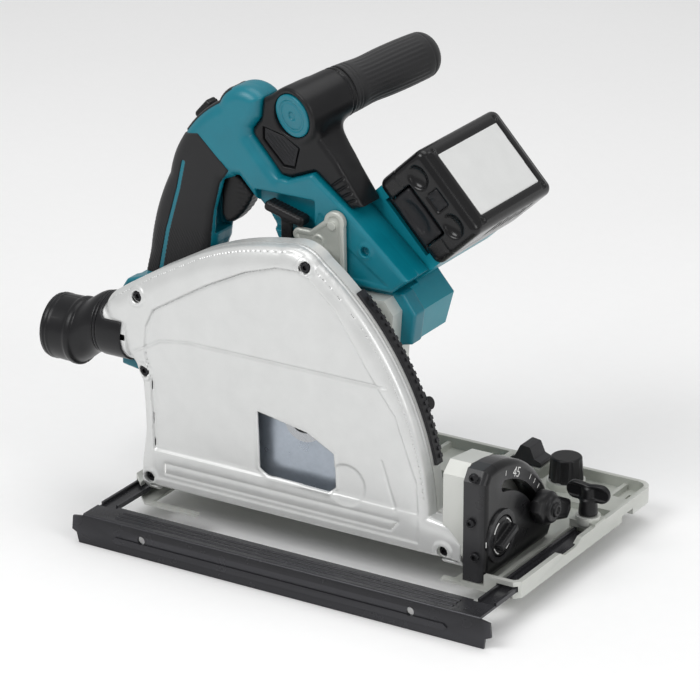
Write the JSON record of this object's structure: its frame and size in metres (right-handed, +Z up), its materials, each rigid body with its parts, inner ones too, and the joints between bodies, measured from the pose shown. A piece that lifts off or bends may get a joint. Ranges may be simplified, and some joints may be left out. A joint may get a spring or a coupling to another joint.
{
  "type": "track plunge saw",
  "caption": "Cordless plunge saw on a flat base: a silver blade case with a window, a plunging teal motor head with two handles and slide batteries, and a folded side fence.",
  "frame": {"origin": "middle of the base's sole, on the work surface", "axes": "+X towards the front of the saw, +Y towards the motor side, +Z up"},
  "size_m": [0.4304, 0.2682, 0.367],
  "materials": {
    "base_metal": "satin casting",
    "guide_black": "satin black paint",
    "zinc": "bright zinc plate",
    "black_plastic": "moulded, fine texture",
    "fence_black": "black oxide on stamped steel",
    "cover_silver": "silver paint",
    "screw_black": "black oxide",
    "bracket_silver": "fine casting",
    "nozzle_black": "moulded, smooth",
    "gear_steel": "machined",
    "winding_copper": "copper windings",
    "teal_plastic": "glass-filled nylon, fine texture",
    "grip_rubber": "soft overmould, fine grain",
    "board_black": "potting compound",
    "brass_contact": "sprung contacts",
    "blade_steel": "ground steel",
    "trigger_black": "moulded",
    "battery_black": "moulded, fine texture",
    "battery_grey": "moulded"
  },
  "bodies": {
    "base": {"base_plate": "base_metal", "front_angle_guide": "guide_black", "rear_angle_guide": "guide_black", "guide_screws": "zinc"},
    "stop_dial": {"bevel_stop_dial": "black_plastic"},
    "rail_knob_front": {"rail_knob_front": "black_plastic"},
    "rail_knob_rear": {"rail_knob_rear": "black_plastic"},
    "fence_clamp_front": {"fence_clamp_front": "black_plastic"},
    "fence_clamp_rear": {"fence_clamp_rear": "black_plastic"},
    "anti_tip": {"anti_tip_lever": "black_plastic"},
    "fence": {"fence_rule": "fence_black", "fence_arm_front": "fence_black", "fence_arm_rear": "fence_black"},
    "blade_case": {"case_cover": "cover_silver", "case_back": "cover_silver", "cover_screws": "screw_black", "front_bracket": "bracket_silver", "rear_bracket": "bracket_silver", "depth_scale_strip": "black_plastic", "head_pivot_pin": "zinc"},
    "bevel_lever_front": {"bevel_lever_front": "black_plastic"},
    "bevel_lever_rear": {"bevel_lever_rear": "black_plastic"},
    "depth_stop": {"depth_stop_slider": "black_plastic", "depth_stop_knob": "black_plastic"},
    "dust_nozzle": {"dust_elbow": "nozzle_black", "dust_cuff": "nozzle_black"},
    "saw_head": {"gear_housing": "bracket_silver", "bearings": "gear_steel", "stator": "winding_copper", "motor_housing": "teal_plastic", "handle_left": "teal_plastic", "handle_right": "teal_plastic", "grip_rubber": "grip_rubber", "front_handle_bracket": "black_plastic", "front_handle_grip": "grip_rubber", "handle_end_cap": "teal_plastic", "case_hook": "bracket_silver", "housing_screws": "screw_black", "head_spring": "gear_steel", "electronics_cover": "teal_plastic", "controller": "board_black", "battery_mount_front": "teal_plastic", "battery_mount_rear": "teal_plastic", "battery_terminals": "brass_contact"},
    "spindle": {"spindle": "gear_steel", "driven_gear": "gear_steel", "inner_flange": "gear_steel", "outer_flange": "gear_steel", "saw_blade": "blade_steel", "blade_bolt": "screw_black"},
    "rotor": {"motor_shaft": "gear_steel", "motor_rotor": "gear_steel", "cooling_fan": "black_plastic"},
    "trigger": {"trigger": "trigger_black"},
    "lock_off": {"lock_off_button": "trigger_black"},
    "plunge_lock": {"plunge_lock_lever": "black_plastic"},
    "battery_front": {"battery_front": "battery_black"},
    "battery_button_front": {"battery_button_front": "battery_grey"},
    "battery_rear": {"battery_rear": "battery_black"},
    "battery_button_rear": {"battery_button_rear": "battery_grey"}
  },
  "joints": [
    {"name": "bevel", "type": "hinge", "parent": "base", "child": "blade_case", "pos_m": [0.004, -0.0895, 0], "axis": [1, 0, 0], "range_deg": [-1, 48]},
    {"name": "plunge", "type": "hinge", "parent": "blade_case", "child": "saw_head", "pos_m": [-0.141, -0.0765, 0.03], "axis": [0, 1, 0], "range_deg": [0, 28.9], "stiffness_Nm_per_rad": 7, "springref_deg": -74.48},
    {"name": "blade_spin", "type": "hinge", "parent": "saw_head", "child": "spindle", "pos_m": [-0.016, -0.0885, 0.095], "axis": [0, 1, 0], "continuous": true},
    {"name": "motor_spin", "type": "hinge", "parent": "saw_head", "child": "rotor", "pos_m": [-0.0271, -0.0115, 0.1142], "axis": [0, 1, 0], "continuous": true},
    {"name": "trigger_pull", "type": "hinge", "parent": "saw_head", "child": "trigger", "pos_m": [-0.111, -0.0365, 0.258], "axis": [0, 1, 0], "range_deg": [0, 8], "stiffness_Nm_per_rad": 0.6, "springref_deg": -11.46},
    {"name": "lock_off_press", "type": "slide", "parent": "saw_head", "child": "lock_off", "axis": [0.7431, 0, -0.6691], "range_m": [0, 0.003], "stiffness_N_per_m": 900, "springref_m": -0.002},
    {"name": "plunge_lock_turn", "type": "hinge", "parent": "saw_head", "child": "plunge_lock", "pos_m": [-0.054, -0.0575, 0.212], "axis": [0, -1, 0], "range_deg": [0, 8]},
    {"name": "battery_front_slide", "type": "slide", "parent": "saw_head", "child": "battery_front", "axis": [0, -1, 0], "range_m": [0, 0.055]},
    {"name": "battery_front_release", "type": "slide", "parent": "battery_front", "child": "battery_button_front", "axis": [0, 1, 0], "range_m": [0, 0.0025], "stiffness_N_per_m": 1500, "springref_m": -0.002},
    {"name": "battery_rear_slide", "type": "slide", "parent": "saw_head", "child": "battery_rear", "axis": [0, 1, 0], "range_m": [0, 0.055]},
    {"name": "battery_rear_release", "type": "slide", "parent": "battery_rear", "child": "battery_button_rear", "axis": [0, -1, 0], "range_m": [0, 0.0025], "stiffness_N_per_m": 1500, "springref_m": -0.002},
    {"name": "bevel_clamp_front", "type": "hinge", "parent": "blade_case", "child": "bevel_lever_front", "pos_m": [0.154, -0.0265, 0.038], "axis": [1, 0, 0], "range_deg": [0, 25]},
    {"name": "bevel_clamp_rear", "type": "hinge", "parent": "blade_case", "child": "bevel_lever_rear", "pos_m": [-0.174, -0.0315, 0.034], "axis": [1, 0, 0], "range_deg": [0, 25]},
    {"name": "depth_stop_slide", "type": "hinge", "parent": "blade_case", "child": "depth_stop", "pos_m": [-0.141, -0.0685, 0.03], "axis": [0, 1, 0], "range_deg": [-20, 2]},
    {"name": "dust_swivel", "type": "hinge", "parent": "blade_case", "child": "dust_nozzle", "pos_m": [-0.198, -0.0815, 0.133], "axis": [1, 0, 0], "range_deg": [-90, 20]},
    {"name": "stop_dial_turn", "type": "hinge", "parent": "base", "child": "stop_dial", "pos_m": [0.147, -0.0825, 0.0355], "axis": [1, 0, 0], "range_deg": [0, 90]},
    {"name": "rail_knob_front_turn", "type": "hinge", "parent": "base", "child": "rail_knob_front", "pos_m": [0.115, 0.0745, 0.02], "axis": [0, 0, 1], "range_deg": [0, 180]},
    {"name": "rail_knob_rear_turn", "type": "hinge", "parent": "base", "child": "rail_knob_rear", "pos_m": [-0.107, 0.0745, 0.02], "axis": [0, 0, 1], "range_deg": [0, 180]},
    {"name": "fence_clamp_front_turn", "type": "hinge", "parent": "base", "child": "fence_clamp_front", "pos_m": [0.164, 0.0185, 0.025], "axis": [0, 0, -1], "range_deg": [0, 90]},
    {"name": "fence_clamp_rear_turn", "type": "hinge", "parent": "base", "child": "fence_clamp_rear", "pos_m": [-0.165, 0.0185, 0.025], "axis": [0, 0, -1], "range_deg": [0, 90]},
    {"name": "anti_tip_slide", "type": "slide", "parent": "base", "child": "anti_tip", "axis": [-1, 0, 0], "range_m": [0, 0.008]},
    {"name": "fence_slide", "type": "slide", "parent": "base", "child": "fence", "axis": [0, -1, 0], "range_m": [-0.008, 0.06]}
  ],
  "couplings": [
    {"joint": "motor_spin", "follows": "blade_spin", "ratio": -3.4}
  ]
}
